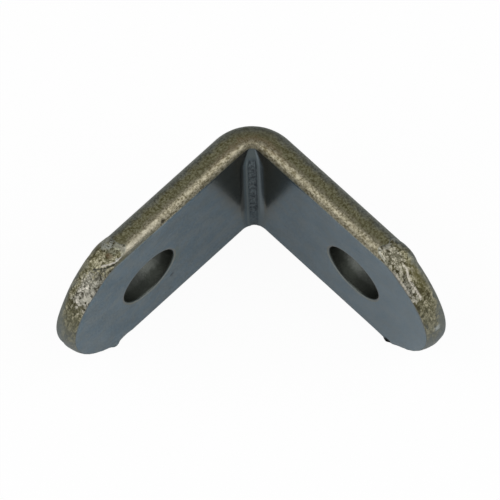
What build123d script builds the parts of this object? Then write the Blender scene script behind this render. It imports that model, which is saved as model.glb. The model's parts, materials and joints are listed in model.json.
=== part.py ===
from build123d import *
from math import cos, radians, sin
import os

os.makedirs("parts", exist_ok=True)

# Angle bracket: a short length of flat steel strip with rolled long edges, its two ends
# sheared round, a bolt hole punched through each end, then folded square in a press.
# The strip's width runs along Z. One leg runs along +X and the other along +Y.
# The origin is the middle of the X leg's hole, on that leg's outer face.
# All sizes are in millimetres.

# Strip
strip_width = 19.0
strip_thickness = 3.0
edge_rounding = 1.05

# Fold: the press draws the strip a little thinner round the corner
bend_outside_radius = 5.1
bend_inside_radius = 1.6

# Mark that the press tool's nose leaves in the inside corner, a little to the X leg's side
press_nose_radius = 1.0
press_mark_depth = 0.08
press_mark_turn = 5.0

# Legs, each from the outer face of the other leg to the tip of its round end
leg_x_length = 28.2
leg_y_length = 27.8

# Round ends: the shear's arc is a little flatter than a half round of the strip's width
end_flattening = 0.5
hole_to_tip = 10.7

# Sheared edge, from the outer face inwards: drawn over to a round, then a square land,
# then a break that curves back to the inner face
shear_land = 0.45
shear_break_setback = 0.44
cutter_clearance = 1.0

# Bolt holes
hole_diameter = 6.8
hole_lip_rounding = 0.25

# Sizes that follow from those above
half_width = strip_width / 2
end_radius = half_width + end_flattening
cutter_reach = end_radius + half_width
outer_face_x = hole_to_tip - leg_x_length
hole_y = leg_y_length - hole_to_tip
inner_face_x = outer_face_x + strip_thickness
inner_face_y = strip_thickness
break_start = edge_rounding + shear_land

# Each leg's outer face, centred on its hole: local X runs to the leg's tip,
# and the plane's normal points out of the bracket
seat_x = Plane(origin=(0, 0, 0), x_dir=(1, 0, 0), z_dir=(0, -1, 0))
seat_y = Plane(origin=(outer_face_x, hole_y, 0), x_dir=(0, 1, 0), z_dir=(-1, 0, 0))

# The press tool's nose sinks into the inside corner by the depth of its mark
nose_setback = bend_inside_radius - press_nose_radius + press_mark_depth
nose_angle = radians(45 + press_mark_turn)
nose_x = inner_face_x + bend_inside_radius - nose_setback * cos(nose_angle)
nose_y = inner_face_y + bend_inside_radius - nose_setback * sin(nose_angle)

with BuildPart() as bracket:
    # Folded strip, seen along its width
    with BuildSketch():
        with BuildLine():
            FilletPolyline(
                (hole_to_tip, 0),
                (outer_face_x, 0),
                (outer_face_x, leg_y_length),
                radius=bend_outside_radius,
            )
            FilletPolyline(
                (inner_face_x, leg_y_length),
                (inner_face_x, inner_face_y),
                (hole_to_tip, inner_face_y),
                radius=bend_inside_radius,
            )
            Line((outer_face_x, leg_y_length), (inner_face_x, leg_y_length))
            Line((hole_to_tip, inner_face_y), (hole_to_tip, 0))
        make_face()
    extrude(amount=half_width, both=True)

    # Rolled long edges: every edge of the two sides but the short ones at the legs' tips
    side_edges = bracket.faces().filter_by(Axis.Z).edges()
    tip_edges = side_edges.filter_by(lambda edge: edge.length < strip_thickness + 0.01)
    fillet([edge for edge in side_edges if edge not in tip_edges], edge_rounding)

    # Mark of the press tool's nose, pressed down the inside corner
    with BuildSketch(Plane(origin=(nose_x, nose_y, 0))):
        Circle(press_nose_radius)
    extrude(amount=half_width, both=True, mode=Mode.SUBTRACT)

    down = Vector(0, 0, -1)
    for seat in (seat_x, seat_y):
        # Round end: what lies past the sheared edge falls away, all round the end's arc
        arc_middle = seat.origin + seat.x_dir * (hole_to_tip - end_radius)
        with BuildSketch(Plane(arc_middle, x_dir=down, z_dir=seat.z_dir.cross(down))):
            with BuildLine():
                Polyline(
                    (end_radius - edge_rounding, 0),
                    (end_radius - edge_rounding, -cutter_clearance),
                    (cutter_reach, -cutter_clearance),
                    (cutter_reach, strip_thickness + cutter_clearance),
                    (end_radius - shear_break_setback, strip_thickness + cutter_clearance),
                    (end_radius - shear_break_setback, strip_thickness),
                )
                TangentArc(
                    (end_radius - edge_rounding, 0),
                    (end_radius, edge_rounding),
                    tangent=(1, 0),
                )
                Line((end_radius, edge_rounding), (end_radius, break_start))
                TangentArc(
                    (end_radius, break_start),
                    (end_radius - shear_break_setback, strip_thickness),
                    tangent=(0, 1),
                )
            make_face()
        revolve(axis=Axis(arc_middle, down.cross(seat.x_dir)), revolution_arc=180, mode=Mode.SUBTRACT)

        # Bolt hole, with the lip that the punch drew down on the inner face
        with BuildSketch(seat):
            Circle(hole_diameter / 2)
        extrude(amount=-strip_thickness, mode=Mode.SUBTRACT)
        rims = bracket.edges(Select.LAST).filter_by(GeomType.CIRCLE)
        fillet(rims.sort_by(Axis(seat.origin, seat.z_dir))[0], hole_lip_rounding)

bracket.part.label = "bracket"
export_step(bracket.part, "parts/bracket.step")
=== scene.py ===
import json
import math

import bmesh
import bpy
import numpy as np
from mathutils import Matrix, Vector


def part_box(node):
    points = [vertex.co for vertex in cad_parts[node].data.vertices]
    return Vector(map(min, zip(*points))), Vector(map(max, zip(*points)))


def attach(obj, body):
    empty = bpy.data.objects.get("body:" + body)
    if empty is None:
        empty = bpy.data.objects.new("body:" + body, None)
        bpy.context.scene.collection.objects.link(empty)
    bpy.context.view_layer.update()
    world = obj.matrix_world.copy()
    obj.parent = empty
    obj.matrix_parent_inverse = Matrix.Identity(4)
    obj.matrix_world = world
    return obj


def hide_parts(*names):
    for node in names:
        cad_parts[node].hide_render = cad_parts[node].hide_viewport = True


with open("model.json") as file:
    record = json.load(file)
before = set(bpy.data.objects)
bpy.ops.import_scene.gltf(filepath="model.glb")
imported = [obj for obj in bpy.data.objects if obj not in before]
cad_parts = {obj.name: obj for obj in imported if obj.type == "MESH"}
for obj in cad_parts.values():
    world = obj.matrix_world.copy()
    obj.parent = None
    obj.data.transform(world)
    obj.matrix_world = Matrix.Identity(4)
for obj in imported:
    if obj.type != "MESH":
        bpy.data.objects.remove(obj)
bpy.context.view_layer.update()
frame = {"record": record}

MM = 0.001
MOUNTS = {mount["name"]: mount for mount in frame["record"]["mounts"]}
LOW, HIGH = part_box("bracket")

# Sizes of the solid, in metres. The X leg's hole is at the origin.
half_width = HIGH[2]
thickness = MOUNTS["inner_face_x"]["pos_m"][1]
outer_face_x = LOW[0]
hole_y = MOUNTS["hole_y"]["pos_m"][1]
hole_radius = MOUNTS["hole_x"]["dims"]["r_mm"] * MM
lip_rounding = thickness - MOUNTS["hole_x"]["dims"]["length_mm"] * MM
hole_to_tip = HIGH[0]
end_radius = 10.0 * MM
edge_rounding = 1.05 * MM
shear_land = 0.45 * MM
shear_break_setback = 0.44 * MM
bend_outside_radius = 5.1 * MM
bend_inside_radius = 1.6 * MM

# The flat blank, before the fold: `along` runs from the X leg's tip to the Y leg's, zero in the
# middle of the fold, `across` runs over the strip's width and `depth` from outer face to inner.
# Past the fold each leg has a plain shank, then rings of faces round its hole, then its end's arc.
fold_half = (bend_outside_radius + bend_inside_radius) / 2 * math.pi / 4
shank_length = 3.6 * MM
ring_reach = 8.4 * MM
hole_along = fold_half + shank_length + ring_reach
flat_half = half_width - edge_rounding
arc_offset = hole_to_tip - end_radius

# How far each leg's rings start from the other leg's outer face
leg_start = {"x": -ring_reach - outer_face_x, "y": hole_y - ring_reach}

# The shear's arc isn't quite true: full near the ends' corners, and on each leg flat between the
# upper corner and the tip, given as that flat's middle and spread in degrees and its depth. The
# trim fades out by this reach inside the end's wall.
corner_fullness = 0.22 * MM
corner_angle = 62.0
corner_spread = 8.0
shoulders = {"x": (24.0, 21.0, 0.52 * MM), "y": (28.0, 28.0, 0.42 * MM)}
trim_reach = 1.5 * MM

# The fold's inside radius, as a share of the solid's: in the middle of the strip, and how much
# less it is at the upper and at the lower edge
middle_share = 1.18
upper_tightening = 0.75
lower_tightening = 0.2
upper_reach = 4.0 * MM
lower_reach = 3.0 * MM

# How square the fold presses the rolled edge, where along the blank that fades, and how high up
# the inside corner the press tool's mark reaches
fold_squareness = 0.26
square_until = fold_half - 1.0 * MM
round_from = fold_half + 1.8 * MM
mark_top = 7.2 * MM

# Marks on the edges and ends, in millimetres: place on the blank, radius, and depth, which is
# below zero where the metal stands proud. They are a pit in the X leg's upper edge, the burr at
# the lower corner of the Y leg and of the X leg, the metal drawn in beside the second, and the
# swelling at the upper corner of the X leg and of the Y leg.
edge_marks = (
    ((-12.2, 9.05, 2.85), 0.28, 0.08),
    ((19.35, -9.0, 2.85), 0.6, -0.22),
    ((-19.8, -8.95, 2.9), 0.75, -0.28),
    ((-18.4, -9.3, 2.8), 1.2, 0.1),
    ((-18.4, 9.4, 0.3), 1.6, -0.13),
    ((19.7, 8.9, 0.2), 1.5, -0.16),
)


# Mesh tools

def noise(points, size, seed):
    """Smooth noise from -1 to 1 at each of (n, 3) points, in lumps about `size` across."""
    side = 64
    table = np.random.default_rng(seed).uniform(-1, 1, (side, side, side))
    cell = points / size
    low = np.floor(cell).astype(int)
    part = cell - low
    part = part * part * (3 - 2 * part)
    total = np.zeros(len(points))
    for corner in np.ndindex(2, 2, 2):
        weight = np.prod(np.where(corner, part, 1 - part), axis=1)
        row, column, layer = ((low + corner) % side).T
        total += weight * table[row, column, layer]
    return total


def hollows(points, size, deep, seed):
    """Smooth hollows up to `deep` deep and about `size` across."""
    return deep * (0.5 - 0.5 * noise(points, size, seed))


def smooth_step(value, start, end):
    """0 before start and 1 past end, with an even slope between."""
    share = np.clip((value - start) / (end - start), 0, 1)
    return share * share * (3 - 2 * share)


def bell(value, middle, spread):
    """1 at the middle, falling off smoothly to both sides."""
    return np.exp(-((value - middle) / spread) ** 2)


class Blank:
    """The flat blank as patches of quads, whose shared borders join when it is folded."""

    def __init__(self):
        self.points = []
        self.quads = []

    def add_grid(self, grid):
        """Add a rows x columns x 3 grid of blank points."""
        rows, columns = grid.shape[:2]
        index = np.arange(rows * columns).reshape(rows, columns) + sum(map(len, self.points))
        corners = index[:-1, :-1], index[1:, :-1], index[1:, 1:], index[:-1, 1:]
        self.quads.append(np.stack(corners, -1).reshape(-1, 4))
        self.points.append(grid.reshape(-1, 3))

    def joined(self):
        """All points and quads, as two arrays."""
        return np.concatenate(self.points), np.concatenate(self.quads)


def on_blank(along, across, depth):
    """Blank points from three arrays that spread to one shape."""
    return np.stack(np.broadcast_arrays(along, across, depth), -1)


# Blank: rows and columns of its patches
fold_columns = 48
shank_columns = 14
across_rows = 110
edge_columns = 110
arc_columns = 190
ring_rows = 14
rounding_rows = 12
side_rows = 8
bore_rows = 9
lip_rows = 4


def section():
    """Half round the strip's section, from inner face over a long edge to outer face."""
    turn = np.linspace(0, math.pi / 2, rounding_rows + 1)
    over = flat_half + edge_rounding * np.sin(turn)
    drop = edge_rounding * (1 - np.cos(turn))
    side = np.linspace(thickness - edge_rounding, edge_rounding, side_rows + 1)[1:-1]
    across = np.concatenate((over, np.full_like(side, half_width), over[::-1]))
    depth = np.concatenate((thickness - drop, side, drop[::-1]))
    return across, depth


def sheared_radius(depth):
    """Radius of a round end at a depth: drawn over at the outer face, broken back at the inner."""
    over = np.clip(1 - depth / edge_rounding, 0, 1)
    drawn = edge_rounding * (1 - np.sqrt(1 - over ** 2))
    break_depth = thickness - edge_rounding - shear_land
    break_radius = (break_depth ** 2 + shear_break_setback ** 2) / (2 * shear_break_setback)
    past = np.clip(depth - edge_rounding - shear_land, 0, None)
    broken = break_radius - np.sqrt(break_radius ** 2 - past ** 2)
    return end_radius - drawn - broken


def end_angles(across, depth):
    """Angle, from the leg's line, at which the end's arc meets the long edge at each depth."""
    return np.arcsin(across / sheared_radius(depth))


def leg_outline(depth):
    """Flat part of a leg round its hole: over the shank, along an edge, round the end and back."""
    radius = sheared_radius(depth)
    corner = end_angles(flat_half, depth)
    arc_start = arc_offset + radius * math.cos(corner)
    across = np.linspace(-flat_half, flat_half, across_rows + 1)[:-1]
    along = np.linspace(-ring_reach, arc_start, edge_columns + 1)[:-1]
    angle = np.linspace(corner, -corner, arc_columns + 1)
    shank = np.column_stack((np.full_like(across, -ring_reach), across))
    edge = np.column_stack((along, np.full_like(along, flat_half)))
    arc = np.column_stack((arc_offset + radius * np.cos(angle), radius * np.sin(angle)))
    back = edge[::-1] * (1, -1)
    return np.concatenate((shank, edge, arc, back))


def add_leg(blank, way):
    """One leg's patches: way is -1 for the X leg and 1 for the Y leg."""

    def place(flat, depth):
        """Points round the hole, as points of the blank."""
        return on_blank(way * (hole_along + flat[..., 0]), flat[..., 1], depth)

    # Faces: rings from the hole's rim out to the outline
    share = np.linspace(0, 1, ring_rows + 1)[:, None, None]
    for rim, depth in ((hole_radius, 0.0), (hole_radius + lip_rounding, thickness)):
        outline = leg_outline(depth)
        ray = outline / np.linalg.norm(outline, axis=1)[:, None]
        blank.add_grid(place((1 - share) * rim * ray + share * outline, depth))

    # Bore, with its rounded lip at the inner face. The rays of the two faces differ a little,
    # so they slide into each other through the thickness.
    turn = np.linspace(0, math.pi / 2, lip_rows + 1)
    straight = np.linspace(0, thickness - lip_rounding, bore_rows + 1)[:-1]
    radius = np.concatenate((np.full_like(straight, hole_radius),
                             hole_radius + lip_rounding * (1 - np.cos(turn))))
    depth = np.concatenate((straight, thickness - lip_rounding * (1 - np.sin(turn))))
    faces = (leg_outline(face) for face in (0.0, thickness))
    outer, inner = (np.unwrap(np.arctan2(*outline.T[::-1])) for outline in faces)
    angle = outer + (inner - outer) * (depth / thickness)[:, None]
    rays = np.stack((np.cos(angle), np.sin(angle)), -1)
    blank.add_grid(place(radius[:, None, None] * rays, depth[:, None]))

    # Sheared end: one row of points round its arc at each depth
    across, depth = section()
    angle = end_angles(across, depth)[:, None] * np.linspace(1, -1, arc_columns + 1)
    radius = sheared_radius(depth)[:, None]
    wall = np.stack((arc_offset + radius * np.cos(angle), radius * np.sin(angle)), -1)
    blank.add_grid(place(wall, depth[:, None]))


def strip_columns():
    """Places along the blank between the two legs' rings."""
    middle = np.linspace(-fold_half, fold_half, fold_columns + 1)
    shank = np.linspace(fold_half, fold_half + shank_length, shank_columns + 1)[1:]
    return np.concatenate((-shank[::-1], middle, shank))


def add_long_edges(blank):
    """Both rolled long edges, from one round end to the other."""
    across, depth = section()
    reach = arc_offset + sheared_radius(depth) * np.cos(end_angles(across, depth))
    share = np.linspace(0, 1, edge_columns + 1)[1:, None]
    leg = hole_along - ring_reach + share * (ring_reach + reach)
    middle = np.repeat(strip_columns()[:, None], len(across), axis=1)
    along = np.concatenate((-leg[::-1], middle, leg))
    for side in (1, -1):
        blank.add_grid(on_blank(along, side * across, depth))


def add_middle(blank):
    """Flat faces between the two legs' rings, over the fold."""
    along = strip_columns()[:, None]
    across = np.linspace(-flat_half, flat_half, across_rows + 1)
    for depth in (0.0, thickness):
        blank.add_grid(on_blank(along, across, depth))


# Fold

def corner_radius(across):
    """Inside radius of the fold: tighter towards the strip's edges, most so at the upper one."""
    upper = smooth_step(across, half_width - upper_reach, half_width)
    lower = smooth_step(-across, half_width - lower_reach, half_width)
    share = middle_share - upper_tightening * upper - lower_tightening * lower
    return bend_inside_radius * share


def fold(points):
    """Bend blank points round the corner, into the bracket's own frame."""
    along, across, depth = points.T
    inside = corner_radius(across)
    radius = bend_outside_radius + (inside - bend_outside_radius) * depth / thickness
    turn = np.clip(along / fold_half + 1, 0, 2) * math.pi / 4

    def reach(past, leg, bent):
        """Distance from the other leg's outer face, past the bend or round it."""
        start = depth + radius
        run = np.clip(past / shank_length, 0, 1)
        straight = start + (leg_start[leg] - start) * run + np.maximum(past - shank_length, 0)
        return np.where(past > 0, straight, start - radius * bent)

    x = reach(-along - fold_half, "x", np.sin(turn))
    y = reach(along - fold_half, "y", np.cos(turn))
    return np.column_stack((outer_face_x + x, y, across))


def press_square(points):
    """The fold squeezes the upper edge's rounding towards a square at the inner face."""
    points = points.copy()
    across, depth = points[:, 1:].T
    over = np.clip(across - flat_half, 0, None) / edge_rounding
    near = np.clip(depth - thickness + edge_rounding, 0, None) / edge_rounding
    here = 1 - smooth_step(np.abs(points[:, 0]), square_until, round_from)
    grow = here * fold_squareness * (2 * over * near) ** 2 * edge_rounding
    points[:, 1] += over * grow
    points[:, 2] += near * grow
    return points


# Wear: the forms that the shear, the rolls and the press left in the strip

def cut_inset(points):
    """How far blank points lie inside the sheared ends' walls; 1 m where there is no end."""
    along, across, depth = points.T
    reach = np.abs(along) - hole_along - arc_offset
    inset = sheared_radius(depth) - np.hypot(reach, across)
    return np.where(reach > 0, inset, 1.0)


def trim_ends(points):
    """Fill out the ends' arcs near their corners and flatten them beside the tips."""
    along, across, depth = points.T
    reach = np.abs(along) - hole_along - arc_offset
    angle = np.degrees(np.arctan2(np.abs(across), reach))
    full = corner_fullness * bell(angle, corner_angle, corner_spread)
    each_leg = (np.array(shoulders[leg])[:, None] for leg in "xy")
    middle, spread, deep = np.where(along < 0, *each_leg)
    flat = deep * bell(np.sign(across) * angle, middle, spread) * (1 - depth / thickness)
    hold = 1 - smooth_step(cut_inset(points), 0, trim_reach)
    outwards = np.column_stack((np.sign(along) * np.cos(np.radians(angle)),
                                np.sign(across) * np.sin(np.radians(angle)),
                                np.zeros_like(angle)))
    return points + ((full - flat) * hold)[:, None] * outwards


def tear(points):
    """Depth of the torn zone of the sheared ends, with a crest left standing beside the land."""
    depth = points[:, 2]
    wall = 1 - smooth_step(cut_inset(points), 0.02 * MM, 0.12 * MM)
    torn = smooth_step(depth, 0.5 * MM, 1.1 * MM)
    crest_depth = 1.45 * MM + 0.28 * MM * noise(points, 1.3 * MM, 11)
    crest = bell(depth, crest_depth, 0.12 * MM)
    drawn = points * (1, 0.5, 1)
    lumps = hollows(drawn, 0.42 * MM, 0.07 * MM, 12)
    grains = hollows(drawn, 0.18 * MM, 0.02 * MM, 13)
    return wall * (0.2 + 0.8 * torn) * (lumps + grains) * (1 - 0.85 * crest)


def rolled_grain(points):
    """Depth of the fine roll scale and the slow waves on the long edges."""
    side = smooth_step(np.abs(points[:, 1]), flat_half + 0.2 * MM, flat_half + 0.5 * MM)
    fine = hollows(points, 0.22 * MM, 0.014 * MM, 21)
    waves = hollows(points, 2.4 * MM, 0.03 * MM, 22)
    return side * (fine + waves)


def press_mark(points):
    """Depth of the press tool's mark, down the inside corner: a scored groove between two raised
    lips, with a flat facet beside it. Places round the fold are in degrees from the X leg."""
    across, depth = points[:, 1:].T
    turn = np.clip(points[:, 0] / fold_half + 1, 0, 2) * 45
    inner = smooth_step(depth, thickness - 0.5 * MM, thickness - 0.1 * MM)
    start = smooth_step(-across, -mark_top, -mark_top + 0.8 * MM)
    groove = smooth_step(turn, 30, 38) * (1 - smooth_step(turn, 54, 59))
    facet = smooth_step(turn, 57, 60) * (1 - smooth_step(turn, 60, 82))
    lips = bell(turn, 29, 2.5) + bell(turn, 61, 2.0)
    scores = noise(points, 0.28 * MM, 31) + noise(points, 0.5 * MM, 32)
    deep = groove * (0.045 + 0.022 * scores) + facet * 0.04 - lips * 0.015
    return inner * start * deep * MM


def dents(points):
    """Depth of the marks on the edges and ends."""
    total = np.zeros(len(points))
    for place, radius, deep in edge_marks:
        away = np.linalg.norm(points / MM - place, axis=1) / radius
        total += deep * MM * np.clip(1 - away ** 2, 0, 1)
    return total


def blank_of(mesh):
    """The mesh's blank coordinates, as an (n, 3) array."""
    flat = np.empty(len(mesh.vertices) * 3, np.float32)
    mesh.attributes["blank"].data.foreach_get("vector", flat)
    return flat.reshape(-1, 3).astype(float)


def wear(mesh):
    """Press the tear, the roll scale, the press mark and the dents into the mesh, which stays
    within the solid's box."""
    points = blank_of(mesh)
    surface = np.empty(len(points) * 3, np.float32)
    normals = np.empty(len(points) * 3, np.float32)
    mesh.vertices.foreach_get("co", surface)
    mesh.vertex_normals.foreach_get("vector", normals)
    deep = tear(points) + rolled_grain(points) + press_mark(points) + dents(points)
    surface = surface.reshape(-1, 3) - deep[:, None] * normals.reshape(-1, 3)
    surface = np.clip(surface, LOW, HIGH)
    mesh.vertices.foreach_set("co", surface.ravel())
    mesh.update()


# Folded strip

def make_bracket():
    """The folded strip as one closed mesh, with its blank coordinates kept for the finish."""
    blank = Blank()
    add_leg(blank, -1)
    add_leg(blank, 1)
    add_long_edges(blank)
    add_middle(blank)
    points, quads = blank.joined()

    mesh = bpy.data.meshes.new("folded_strip")
    mesh.from_pydata(fold(press_square(trim_ends(points))).tolist(), [], quads.tolist())
    flat = mesh.attributes.new("blank", "FLOAT_VECTOR", "POINT")
    flat.data.foreach_set("vector", points.ravel())

    join_distance = 0.0005 * MM
    shell = bmesh.new()
    shell.from_mesh(mesh)
    bmesh.ops.remove_doubles(shell, verts=shell.verts, dist=join_distance)
    bmesh.ops.recalc_face_normals(shell, faces=shell.faces)
    shell.to_mesh(mesh)
    shell.free()
    mesh.shade_smooth()
    return bpy.data.objects.new("folded_strip", mesh)


def keep_inset(mesh):
    """Keep how far each point lies inside the sheared walls, which the finish follows."""
    inset = mesh.attributes.new("inset", "FLOAT", "POINT")
    inset.data.foreach_set("value", cut_inset(blank_of(mesh)))


# Borders of faces that turn by more than this stay sharp
sharp_from = math.radians(40)

piece = make_bracket()
bpy.context.scene.collection.objects.link(piece)
keep_inset(piece.data)
wear(piece.data)
piece.data.set_sharp_from_angle(angle=sharp_from)
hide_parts("bracket")
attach(piece, "root")


# Shader maths

class Signal:
    """A socket in a material. Arithmetic on it adds the Math nodes that work it out."""

    def __init__(self, shader, socket):
        self.shader = shader
        self.socket = socket

    def __add__(self, other):
        return self.shader.maths("ADD", self, other)

    def __sub__(self, other):
        return self.shader.maths("SUBTRACT", self, other)

    def __rsub__(self, other):
        return self.shader.maths("SUBTRACT", other, self)

    def __mul__(self, other):
        return self.shader.maths("MULTIPLY", self, other)

    def __pow__(self, other):
        return self.shader.maths("POWER", self, other)

    def __abs__(self):
        return self.shader.maths("ABSOLUTE", self)

    __radd__ = __add__
    __rmul__ = __mul__


class Shader:
    """The nodes of a material or a world."""

    def __init__(self, owner):
        owner.use_nodes = True
        self.nodes = owner.node_tree.nodes
        self.links = owner.node_tree.links
        self.nodes.clear()

    def add(self, kind, settings, inputs, output=0):
        """Add a node: first its settings or a ramp's stops, then its sockets' values and links."""
        node = self.nodes.new(kind)
        for name, value in settings.items():
            if name == "stops":
                elements = node.color_ramp.elements
                for place, _ in value[2:]:
                    elements.new(place)
                for element, (place, tone) in zip(elements, value):
                    element.position = place
                    element.color = tone
            else:
                setattr(node, name, value)
        for name, value in inputs.items():
            if isinstance(value, Signal):
                self.links.new(value.socket, node.inputs[name])
            else:
                node.inputs[name].default_value = value
        return Signal(self, node.outputs[output]) if node.outputs else None

    def maths(self, operation, *values):
        """One Math node."""
        return self.add("ShaderNodeMath", {"operation": operation}, dict(enumerate(values)))

    def vector(self, operation, *values, output=0):
        """One Vector Math node; a distance or dot product comes out as `Value`."""
        settings = {"operation": operation}
        return self.add("ShaderNodeVectorMath", settings, dict(enumerate(values)), output)

    def scaled(self, vector, factor):
        """A vector times a number."""
        settings = {"operation": "SCALE"}
        return self.add("ShaderNodeVectorMath", settings, {0: vector, "Scale": factor})

    def attribute(self, name, output):
        """What the mesh keeps at each point under this name."""
        return self.add("ShaderNodeAttribute", {"attribute_name": name}, {}, output)

    def ray(self, kind):
        """1 for rays of this kind and 0 for others."""
        return self.add("ShaderNodeLightPath", {}, {}, kind)

    def ease(self, value, start, end):
        """0 before start and 1 past end, with an even slope between."""
        return self.add("ShaderNodeMapRange", {"interpolation_type": "SMOOTHSTEP"},
                        {"Value": value, "From Min": start, "From Max": end})

    def mix(self, share, first, second):
        """A colour from first to second as share goes from 0 to 1."""
        return self.add("ShaderNodeMix", {"data_type": "RGBA"}, {0: share, 6: first, 7: second}, 2)

    def grain(self, place, scale, detail=3.0, roughness=0.6, output=0):
        """Cloudy noise from 0 to 1 in lumps about 1 / scale across."""
        return self.add("ShaderNodeTexNoise", {}, {
            "Vector": place, "Scale": scale, "Detail": detail, "Roughness": roughness}, output)

    def ramp(self, share, *stops):
        """A colour from a list of (place, colour) as share goes from 0 to 1."""
        return self.add("ShaderNodeValToRGB", {"stops": stops}, {0: share})

    def band(self, value, start, end, soft):
        """1 between start and end and 0 outside, with borders that fade over twice `soft`."""
        past_start = self.ease(value, start - soft, start + soft)
        return past_start * (1 - self.ease(value, end - soft, end + soft))

    def spot(self, place, centre, radius):
        """1 in the middle of a round mark and 0 past its radius."""
        away = self.vector("DISTANCE", place, centre, output="Value")
        return 1 - self.ease(away, radius * 0.45, radius)


def colour(red, green, blue):
    """A linear colour from display values of 0 to 255."""

    def linear(value):
        """One channel, by the display's own curve."""
        value /= 255
        return value / 12.92 if value <= 0.04045 else ((value + 0.055) / 1.055) ** 2.4

    return (linear(red), linear(green), linear(blue), 1.0)


# Finish: places on the blank and sizes here are in millimetres

# Dark spots on the X leg's inner face: place, radius and strength
face_spots = (
    ((-11.64, -4.04, 3.0), 0.35, 0.7),
    ((-9.8, -7.2, 3.0), 0.3, 0.35),
    ((-12.0, -6.9, 3.0), 0.3, 0.3),
)

# Spots on the sheared ends: place, radius, strength and tone
cut_spots = (
    ((-17.8, 9.5, 1.6), 0.9, 0.6, colour(166, 167, 146)),
    ((-17.65, 9.5, 1.9), 0.35, 0.8, colour(208, 208, 182)),
    ((-18.3, 9.4, 2.9), 0.4, 0.9, colour(200, 202, 195)),
    ((18.6, 9.4, 2.85), 0.34, 0.9, colour(204, 200, 194)),
    ((-17.9, 9.5, 0.8), 0.9, 0.7, colour(172, 176, 170)),
    ((-18.65, 9.44, 1.85), 0.45, 0.6, colour(92, 70, 50)),
    ((25.0, 1.4, 1.7), 0.6, 0.65, colour(184, 190, 188)),
)


def face_tone(shader, place, warped, along, across, depth):
    """Smooth blue-grey mill finish, with faint clouds, rolling streaks and a few spots. Painted
    light makes the Y leg paler towards its tip, and a neutral tint lies over the dark reflections
    in the inside corner."""
    clouds = shader.grain(place, 0.4, 4.0)
    streaks = shader.grain(shader.vector("MULTIPLY", place, (0.5, 4.0, 1.0)), 1.0, 3.0)
    fine = shader.grain(place, 4.0, 2.0)
    level = shader.ease(clouds * 0.3 + streaks * 0.2 + fine * 0.5, 0.41, 0.59)
    tone = shader.mix(level, colour(91, 108, 118), colour(121, 134, 141))
    warmth = shader.ease(shader.grain(place, 0.9, 3.0), 0.35, 0.65)
    hue = shader.mix(warmth, colour(96, 120, 136), colour(118, 124, 122))
    tone = shader.mix(0.3, tone, hue)
    # Painted light: the Y leg's inner face is painted paler towards its tip
    painted_lighter = shader.ease(along, 0.0, 24.0)
    tone = shader.mix(painted_lighter * 0.4, tone, colour(126, 140, 148))

    for centre, radius, strength in face_spots:
        dark = shader.spot(warped, centre, radius) * strength
        tone = shader.mix(dark, tone, colour(52, 60, 64))
    drawn = shader.vector("MULTIPLY", warped, (1.0, 0.25, 1.0))
    stain = shader.spot(drawn, (-10.8, -0.1, 3.0), 0.55)
    tone = shader.mix(stain * 0.3, tone, colour(112, 122, 104))
    # A neutral tint near the fold on the inner faces, over the other leg's dark reflection
    corner_tint = 1 - shader.ease(abs(along) - across * 0.25, 2.6, 4.7)
    corner_tint = corner_tint * shader.ease(depth, 2.0, 2.6)
    return shader.mix(corner_tint * 0.9, tone, colour(110, 109, 100))


def fold_tone(shader, place, tone, along, across, depth):
    """The press mark down the inside corner: a scored dark groove between two lips with a painted
    highlight, on a strip painted darker as a painted reflection of the shadowed floor, with a
    painted shadow along its X side and a facet painted lighter along its Y side. `turn` is in
    degrees round the fold from the X leg."""
    turn = along * (45 * MM / fold_half) + 45
    top = mark_top / MM
    inner = shader.ease(depth, 2.0, 2.6)
    marked = shader.ease(depth, 2.6, 2.9) * shader.ease(across, top, top - 0.8)
    foot = shader.ease(across, -3.5, -6.5)

    # The strip is painted darker, a painted reflection of the shadowed floor in the corner; less
    # so above the mark and at its foot
    above = shader.ease(across, top - 0.6, top + 0.2)
    strip = shader.mix(above, colour(76, 87, 92), colour(84, 92, 93))
    strip = shader.mix(foot, strip, colour(88, 100, 106))
    tone = shader.mix(shader.band(turn, 12.0, 78.0, 8.0) * inner, tone, strip)
    # Painted reflection: the facet along the Y side is painted lighter
    facet = shader.band(turn, 64.0, 80.0, 3.0) * (1 - foot * 0.5)
    tone = shader.mix(facet * inner, tone, colour(116, 126, 131))
    shadow = shader.band(turn, 3.0, 17.0, 2.5) * shader.ease(across, -5.0, -3.5)
    tone = shader.mix(shadow * inner * 0.75, tone, colour(50, 55, 56))

    blotches = shader.ease(shader.grain(place, 1.8, 3.0, 0.7), 0.35, 0.65)
    scored = shader.mix(blotches, colour(46, 52, 57), colour(96, 105, 108))
    broken = shader.ease(shader.grain(place, 0.9, 2.0), 0.35, 0.55)
    line = shader.band(turn, 53.5, 58.0, 1.5) * broken
    scored = shader.mix(line * 0.6, scored, colour(40, 46, 54))
    groove = marked * shader.band(turn, 33.0, 58.0, 2.5) * (1 - foot * 0.5)
    tone = shader.mix(groove, tone, scored)
    # Painted highlight on the two raised lips
    lips = shader.band(turn, 24.0, 30.0, 2.0) + shader.band(turn, 59.5, 63.0, 1.5)
    return shader.mix(marked * lips * 0.25, tone, colour(134, 139, 134))


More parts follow.
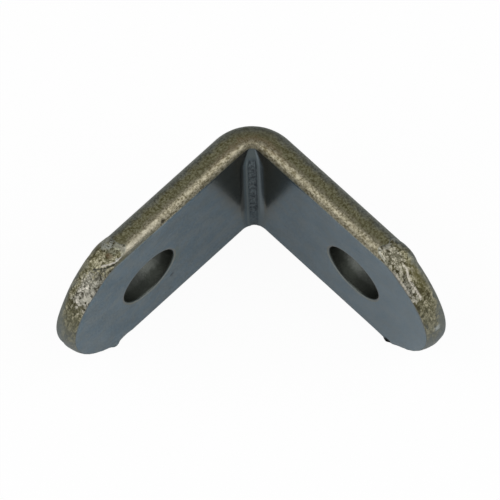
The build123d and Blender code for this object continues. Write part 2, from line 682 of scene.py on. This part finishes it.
def edge_tone(shader, place, along, depth):
    """Speckled roll scale: grey at the outer face, olive on the flat, tan at the inner face."""
    fine_specks = shader.ease(shader.grain(place, 4.5, 2.0, 0.8), 0.3, 0.7)
    specks = shader.ease(shader.grain(place, 4.0, 2.0, 0.8), 0.3, 0.7)
    clouds = shader.grain(place, 1.1, 4.0, 0.7)
    grey = shader.mix(fine_specks, colour(94, 98, 91), colour(138, 140, 132))
    olive = shader.mix(fine_specks, colour(84, 80, 52), colour(142, 140, 112))
    tan = shader.mix(specks, colour(92, 86, 64), colour(171, 165, 144))
    wander = depth + (clouds - 0.5) * 1.6
    tone = shader.mix(shader.ease(wander, 0.35, 1.3), grey, olive)
    tone = shader.mix(shader.ease(wander, 1.5, 2.3), tone, tan)

    # Round the fold: dark olive on the flat, grey at the outer face, a brown band further in, and
    # brownish painted shade that dims the highlight beside the inner face
    folded = 1 - shader.ease(abs(along), 1.2, 3.2)
    flat = folded * shader.band(depth, 1.0, 2.1, 0.4)
    tone = shader.mix(flat * 0.35, tone, colour(84, 78, 52))
    outer = folded * shader.ease(depth, 1.9, 0.9)
    tone = shader.mix(outer * 0.4, tone, colour(104, 108, 102))
    # Painted shade: dims the highlight beside the inner face round the fold
    inner = folded * shader.ease(depth, 2.1, 2.5)
    tone = shader.mix(inner * 0.25, tone, colour(98, 90, 68))
    near_fold = 1 - shader.ease(abs(along), 2.5, 7.0)
    brown = near_fold * shader.band(wander, 1.8, 2.3, 0.25)
    tone = shader.mix(brown * 0.3, tone, colour(122, 100, 64))

    # Towards the X leg's end: a painted highlight on the rounding, darker grey beside the inner
    # face and olive next to the cut, with one pit
    # Painted highlight on the rounding towards the X leg's end
    painted_lit = shader.ease(along, -10.0, -16.0) * shader.band(depth, 2.3, 2.75, 0.2)
    tone = shader.mix(painted_lit * 0.35, tone, colour(205, 200, 184))
    # Darker grey on the rounding beside the inner face
    grey_beside_face = shader.ease(along, -12.0, -16.0) * shader.ease(depth, 2.65, 2.85)
    tone = shader.mix(grey_beside_face * 0.6, tone, colour(88, 94, 90))
    tone = shader.mix(shader.ease(along, -16.9, -17.7) * 0.6, tone, colour(104, 102, 82))
    pit_place, pit_radius, _ = edge_marks[0]
    pit = shader.spot(place, pit_place, pit_radius + 0.02)
    return shader.mix(pit * 0.8, tone, colour(46, 42, 34))


def torn_grain(shader, place):
    """The torn metal's grain: places drawn out over the strip's width, and the flakes and grit
    that lie there, each from 0 to 1."""
    drawn = shader.vector("MULTIPLY", place, (1.0, 0.5, 1.0))
    shift = shader.scaled(shader.grain(drawn, 5.0, 2.0, output="Color"), 0.2)
    ragged = shader.vector("ADD", drawn, shift)
    cells = shader.add("ShaderNodeTexVoronoi", {}, {"Vector": ragged, "Scale": 3.4}, "Color")
    flakes = shader.vector("DOT_PRODUCT", cells, (1.0, 0.0, 0.0), output="Value")
    grit = shader.ease(shader.grain(drawn, 6.0, 3.0, 0.7), 0.33, 0.67)
    return drawn, flakes, grit


def cut_tone(shader, place, warped, along, across, depth, rim):
    """Sheared end: grey drawn-over rim, olive land, then torn flakes, pale near the X leg's upper
    corner and in two lines on the Y leg, with a painted shadow of a crevice. The lower half is
    painted smoother and blue-grey: partly its scale, partly a painted reflection of the floor."""
    drawn, flakes, grit = torn_grain(shader, place)
    x_leg = shader.ease(along, 0.5, -0.5)
    y_leg = 1 - x_leg
    ragged = flakes - 0.5
    wander = depth + (shader.grain(drawn, 1.0, 3.0) - 0.5) * 1.4
    contrast = 0.85 + shader.ease(across, 3.0, 6.5) * 0.3
    level = (flakes * 0.55 + grit * 0.45 - 0.5) * contrast + 0.5
    olive = shader.ramp(level, (0.08, colour(62, 57, 36)), (0.5, colour(108, 105, 80)),
                        (0.92, colour(178, 173, 148)))
    torn = shader.ramp(level, (0.08, colour(72, 69, 58)), (0.5, colour(150, 148, 135)),
                       (0.92, colour(226, 221, 208)))

    # Pale flakes: a patch below the X leg's upper corner, and the Y leg's corner and a streak
    reach = across + ragged * 1.2
    x_pale = shader.ease(reach, 4.9, 6.1) - shader.ease(reach, 7.9, 8.7) * 0.95
    y_corner = shader.ease(reach, 8.0, 8.9) * 0.4
    y_streak = shader.band(reach, 6.2, 7.8, 0.4) * shader.ease(depth, 1.8, 2.1) * 0.75
    pale = x_leg * x_pale + y_leg * (y_corner + y_streak)
    tone = shader.mix(pale * shader.ease(wander, 0.9, 1.6), olive, torn)
    outer = y_leg * shader.band(depth, 0.7, 1.6, 0.3) * shader.band(across, 6.5, 8.6, 0.5)
    tone = shader.mix(outer * 0.65, tone, colour(98, 94, 62))

    # Two bright lines on the Y leg: the crest of the tear, and the border with the inner face
    crest = wander * 0.15 + depth * 0.85 + shader.ease(across, 7.6, 8.8) * 0.42
    crest_line = shader.band(crest, 1.98, 2.2, 0.07) * shader.band(across, 6.1, 8.7, 0.3)
    border_line = shader.band(depth, 2.78, 2.96, 0.06) * shader.band(across, 6.6, 8.4, 0.3)
    lines = (crest_line + border_line) * y_leg * shader.ease(grit, 0.0, 0.4)
    tone = shader.mix(lines * 0.85, tone, colour(216, 210, 196))

    # A pale ledge at the X leg's inner face
    ledge = x_leg * shader.band(reach, 6.2, 8.0, 0.5) * shader.ease(depth, 1.9, 2.6)
    ledge = ledge * shader.ease(flakes, 0.15, 0.6)
    tone = shader.mix(ledge * 0.65, tone, colour(210, 207, 192))

    # The drawn-over rim, which widens downwards, and the lower half, painted smoother and
    # blue-grey:
    # partly its scale, partly a painted reflection of the floor
    low = shader.ease(across + ragged * 1.5, 6.0, 1.5)
    x_corner = shader.ease(across, 7.0, 8.5) * x_leg
    drawn_over = shader.mix(x_corner, colour(115, 121, 119), colour(136, 136, 122))
    tone = shader.mix(shader.ease(wander - low * 0.9, 0.95, 0.2) * 0.75, tone, drawn_over)
    tone = shader.mix(low * 0.35, tone, colour(114, 117, 110))
    # Painted blue-grey lowest part: partly its scale, partly a painted reflection of the floor
    lowest = shader.ease(across + ragged * 2.0, 3.2, -3.0)
    tone = shader.mix(lowest * 0.75, tone, colour(117, 125, 128))
    tone = shader.mix(rim * shader.ease(flakes, 0.2, 0.6) * 0.5, tone, colour(170, 170, 160))

    # A painted shadow of a crevice in the X leg's tear, with a pale chip above it
    tilted = across - depth * 0.33 + (grit - 0.5) * 0.06
    painted_crevice_shadow = x_leg * shader.band(tilted, 8.02, 8.14, 0.03) * shader.ease(depth, 1.4, 1.6)
    tone = shader.mix(painted_crevice_shadow * 0.85, tone, colour(54, 55, 50))
    chip = x_leg * shader.band(tilted, 8.2, 8.32, 0.03) * shader.band(depth, 2.0, 2.8, 0.1)
    tone = shader.mix(chip * 0.8, tone, colour(196, 192, 184))

    gritty = shader.ease(grit, 0.0, 0.7)
    for centre, radius, strength, mark in cut_spots:
        tone = shader.mix(shader.spot(warped, centre, radius) * gritty * strength, tone, mark)
    return tone


def bore_tone(shader, place, along, across, depth):
    """Wall of a bolt hole: dark beside the inner face, where the punch sheared it, and paler where
    it tore. Each tone has a painted shaded and a painted lit copy, and painted light brightens the
    side towards the leg's tip."""
    sheared = shader.ease(depth + (shader.grain(place, 1.5, 3.0) - 0.5) * 1.2, 1.1, 1.9)
    # Painted shaded and painted lit copies of the wall's tones
    painted_shaded = shader.mix(sheared, colour(88, 91, 87), colour(60, 63, 58))
    painted_lit = shader.mix(sheared, colour(106, 110, 105), colour(86, 90, 84))
    # Painted light on the side towards the leg's tip
    painted_light_tipwards = shader.ease(abs(along) - hole_along / MM - across * 0.3, -1.0, 3.0)
    painted_light_tipwards = painted_light_tipwards * (1 - shader.ease(along, -0.5, 0.5) * 0.6)
    return shader.mix(painted_light_tipwards, painted_shaded, painted_lit)


def make_steel():
    """Rolled steel, from the mill's face to the torn ends, painted by place on the blank."""
    steel = bpy.data.materials.new("rolled_steel")
    shader = Shader(steel)
    place = shader.scaled(shader.attribute("blank", "Vector"), 1 / MM)
    drift = shader.grain(place, 2.0, 2.0, output="Color")
    drift = shader.vector("SUBTRACT", drift, (0.5, 0.5, 0.5))
    warped = shader.vector("ADD", place, shader.scaled(drift, 0.5))
    along, across, depth = (
        shader.add("ShaderNodeSeparateXYZ", {}, {"Vector": place}, axis) for axis in "XYZ")
    inset = shader.attribute("inset", "Fac") * (1 / MM)
    clouds = shader.grain(place, 0.8, 3.0)

    # Where each finish lies, from 0 to 1. The cut's border wanders over the long edge's side.
    side = abs(across)
    wander = 0.04 + shader.grain(place, 1.5, 2.0) * 0.2 + shader.ease(along, 0.5, -0.5) * 0.12
    past_border = inset - shader.ease(side, 8.9, 9.3) * wander
    cut = 1 - shader.ease(past_border, 0.03, 0.09)
    rim = shader.band(past_border, -0.05, 0.09, 0.03) * shader.ease(side, 8.7, 9.1)
    rim = rim * shader.ease(inset, 0.0, 0.03)
    edge_start = flat_half / MM
    edge = shader.ease(side, edge_start + 0.15, edge_start + 0.45) * (1 - cut)
    from_hole = ((abs(along) - hole_along / MM) ** 2 + across ** 2) ** 0.5
    past_bore = from_hole - hole_radius / MM
    bore = 1 - shader.ease(past_bore, 0.02, 0.12)
    lip = shader.band(past_bore, 0.08, 0.28, 0.07) * shader.ease(depth, 2.5, 2.7)
    border = shader.ease(inset + (clouds - 0.5) * 0.4, 0.4, 0.1) * shader.ease(depth, 2.9, 2.97)
    border = border * shader.ease(across, 0.0, 4.0)
    # A nearly black painted shadow beside the burr at the Y leg's lower corner
    painted_burr_shadow = shader.spot(warped, (19.5, -8.7, 2.95), 0.8)

    tone = face_tone(shader, place, warped, along, across, depth)
    tone = fold_tone(shader, place, tone, along, across, depth)
    tone = shader.mix(border * 0.7, tone, colour(112, 112, 104))
    tone = shader.mix(lip * 0.5, tone, colour(132, 126, 110))
    tone = shader.mix(bore, tone, bore_tone(shader, place, along, across, depth))
    tone = shader.mix(edge, tone, edge_tone(shader, place, along, depth))
    tone = shader.mix(cut, tone, cut_tone(shader, place, warped, along, across, depth, rim))
    # Painted shadow of the burr
    tone = shader.mix(painted_burr_shadow, tone, colour(16, 16, 15))

    roughness = 0.17 + clouds * 0.08 + edge * 0.2 + cut * 0.25 + bore * 0.2
    scale = shader.grain(place, 6.0, 3.0, 0.7)
    faint = shader.grain(place, 3.0, 3.0, 0.6)
    height = faint * 0.005 + scale * (edge * 0.035 + cut * 0.045 + bore * 0.03)
    bump = shader.add("ShaderNodeBump", {}, {"Strength": 1.0, "Distance": MM, "Height": height})
    surface = shader.add("ShaderNodeBsdfPrincipled", {}, {
        "Base Color": tone,
        "Metallic": 0.95,
        "Roughness": roughness,
        "Specular Tint": (0.55, 0.55, 0.55, 1.0),
        "Normal": bump,
    })
    shader.add("ShaderNodeOutputMaterial", {}, {"Surface": surface})
    return steel


piece.data.materials.append(make_steel())


# Floor, camera and lamps: metres and degrees, and millimetres for the lens. The lamps stand to
# either side of the camera.
floor_reach = 0.6
view_azimuth = 136.99
view_elevation = 65.42
view_roll = -1.93
view_distance = 0.597
view_point = Vector((-9.10 * MM, 8.01 * MM, 0.0))
lens_length = 432.0
lamp_side = 75
lamp_elevation = 46
lamp_distance = 0.5
lamp_size = 0.5
lamp_brightness = 1.7
room_brightness = 0.32


def make_floor():
    """A white card that keeps the part's shadow. It glows for the camera, and less so where the
    steel mirrors it."""
    mesh = bpy.data.meshes.new("floor")
    square = ((-1, -1), (1, -1), (1, 1), (-1, 1))
    corners = [(x * floor_reach, y * floor_reach, LOW[2]) for x, y in square]
    mesh.from_pydata(corners, [], [(0, 1, 2, 3)])
    floor = bpy.data.objects.new("floor", mesh)
    bpy.context.scene.collection.objects.link(floor)
    card = bpy.data.materials.new("white_card")
    shader = Shader(card)
    matt = shader.add("ShaderNodeBsdfDiffuse", {}, {"Color": (0.95, 0.95, 0.95, 1.0)})
    white = {"Color": (1.0, 1.0, 1.0, 1.0), "Strength": 1.0}
    glow = shader.add("ShaderNodeEmission", {}, white)
    share = shader.ray("Is Camera Ray") * 0.95 + shader.ray("Is Glossy Ray") * 0.4
    both = shader.add("ShaderNodeMixShader", {}, {0: share, 1: matt, 2: glow})
    shader.add("ShaderNodeOutputMaterial", {}, {"Surface": both})
    mesh.materials.append(card)


def direction(azimuth, elevation):
    """Unit vector from the part towards azimuth and elevation in degrees; azimuth 0 is -Y."""
    turn = math.radians(azimuth)
    lift = math.radians(elevation)
    return Vector((math.sin(turn) * math.cos(lift),
                   -math.cos(turn) * math.cos(lift),
                   math.sin(lift)))


def facing(away, roll=0.0):
    """Rotation of a camera or lamp that looks back along the vector `away`."""
    turn = away.to_track_quat("Z", "Y").to_matrix()
    return turn @ Matrix.Rotation(math.radians(roll), 3, "Z")


def make_camera():
    """A camera far off with a long lens, at the photograph's viewing angle."""
    data = bpy.data.cameras.new("camera")
    data.lens = lens_length
    camera = bpy.data.objects.new("camera", data)
    away = direction(view_azimuth, view_elevation)
    turn = facing(away, view_roll)
    camera.matrix_world = Matrix.Translation(view_point + view_distance * away) @ turn.to_4x4()
    bpy.context.scene.collection.objects.link(camera)
    bpy.context.scene.camera = camera


def add_lamp(name, azimuth):
    """A square lamp that faces the part, with the brightness that its reflection shows."""
    data = bpy.data.lights.new(name, "AREA")
    data.shape = "SQUARE"
    data.size = lamp_size
    data.energy = lamp_brightness * math.pi * lamp_size ** 2
    lamp = bpy.data.objects.new(name, data)
    away = direction(azimuth, lamp_elevation)
    lamp.matrix_world = Matrix.Translation(lamp_distance * away) @ facing(away).to_4x4()
    bpy.context.scene.collection.objects.link(lamp)


def set_world():
    """A dim, even room, which the camera sees as white."""
    world = bpy.data.worlds.new("room")
    bpy.context.scene.world = world
    shader = Shader(world)
    level = room_brightness + shader.ray("Is Camera Ray") * (1 - room_brightness)
    white = {"Color": (1.0, 1.0, 1.0, 1.0), "Strength": level}
    sky = shader.add("ShaderNodeBackground", {}, white)
    shader.add("ShaderNodeOutputWorld", {}, {"Surface": sky})


make_floor()
make_camera()
add_lamp("left_lamp", view_azimuth - lamp_side)
add_lamp("right_lamp", view_azimuth + lamp_side)
set_world()
bpy.context.scene.view_settings.view_transform = "Standard"
